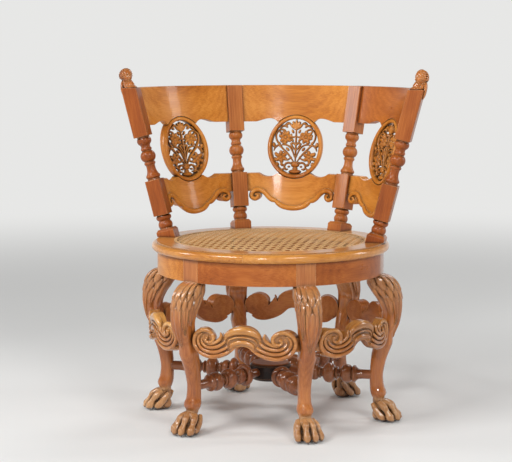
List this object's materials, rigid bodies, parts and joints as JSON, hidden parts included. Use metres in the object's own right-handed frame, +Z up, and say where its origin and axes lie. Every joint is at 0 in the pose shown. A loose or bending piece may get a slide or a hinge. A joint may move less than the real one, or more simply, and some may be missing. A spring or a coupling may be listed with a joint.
{
  "type": "burgomaster chair",
  "caption": "Round-seated burgomaster chair with a curved panelled back, turned posts, pierced oval medallions, caned seat, carved cabriole legs with paw feet and spoked turned stretchers.",
  "frame": {"origin": "on the floor, under the middle of the chair's overall width and depth", "axes": "+Z up, -Y towards the front of the seat, +X to the right as the chair is seen from its front"},
  "size_m": [0.7724, 0.641, 0.853],
  "materials": {
    "polished_wood": "polished golden-brown hardwood",
    "carved_wood": "waxed carved hardwood with darker hollows",
    "dark_wood": "dark stained polished hardwood",
    "cane": "woven split cane, satin",
    "peg_wood": "plain oiled hardwood pegs"
  },
  "bodies": {
    "root": {"leg_front_left": "carved_wood", "seat_rim_front_left": "polished_wood", "turned_stretcher_front_left": "dark_wood", "leg_front_right": "carved_wood", "seat_rim_front_right": "polished_wood", "turned_stretcher_front_right": "dark_wood", "leg_right": "carved_wood", "seat_rim_right": "polished_wood", "turned_stretcher_right": "dark_wood", "leg_back_right": "carved_wood", "seat_rim_back_right": "polished_wood", "turned_stretcher_back_right": "dark_wood", "leg_back_left": "carved_wood", "seat_rim_back_left": "polished_wood", "turned_stretcher_back_left": "dark_wood", "leg_left": "carved_wood", "seat_rim_left": "polished_wood", "turned_stretcher_left": "dark_wood", "apron_front": "polished_wood", "carved_stretcher_front": "carved_wood", "apron_front_right": "polished_wood", "carved_stretcher_front_right": "carved_wood", "apron_back_right": "polished_wood", "carved_stretcher_back_right": "carved_wood", "apron_back": "polished_wood", "carved_stretcher_back": "carved_wood", "apron_back_left": "polished_wood", "carved_stretcher_back_left": "carved_wood", "apron_front_left": "polished_wood", "carved_stretcher_front_left": "carved_wood", "stretcher_hub": "dark_wood", "cane_panel": "cane", "cane_binding": "cane", "left_arm_post": "polished_wood", "left_back_post": "polished_wood", "right_back_post": "polished_wood", "right_arm_post": "polished_wood", "left_finial": "carved_wood", "right_finial": "carved_wood", "left_crest_rail": "polished_wood", "left_lower_rail": "polished_wood", "left_medallion": "carved_wood", "back_crest_rail": "polished_wood", "back_lower_rail": "polished_wood", "back_medallion": "carved_wood", "right_crest_rail": "polished_wood", "right_lower_rail": "polished_wood", "right_medallion": "carved_wood", "rail_pegs": "peg_wood", "apron_pegs": "peg_wood", "rim_dowels": "peg_wood", "medallion_dowels": "peg_wood"}
  },
  "joints": []
}
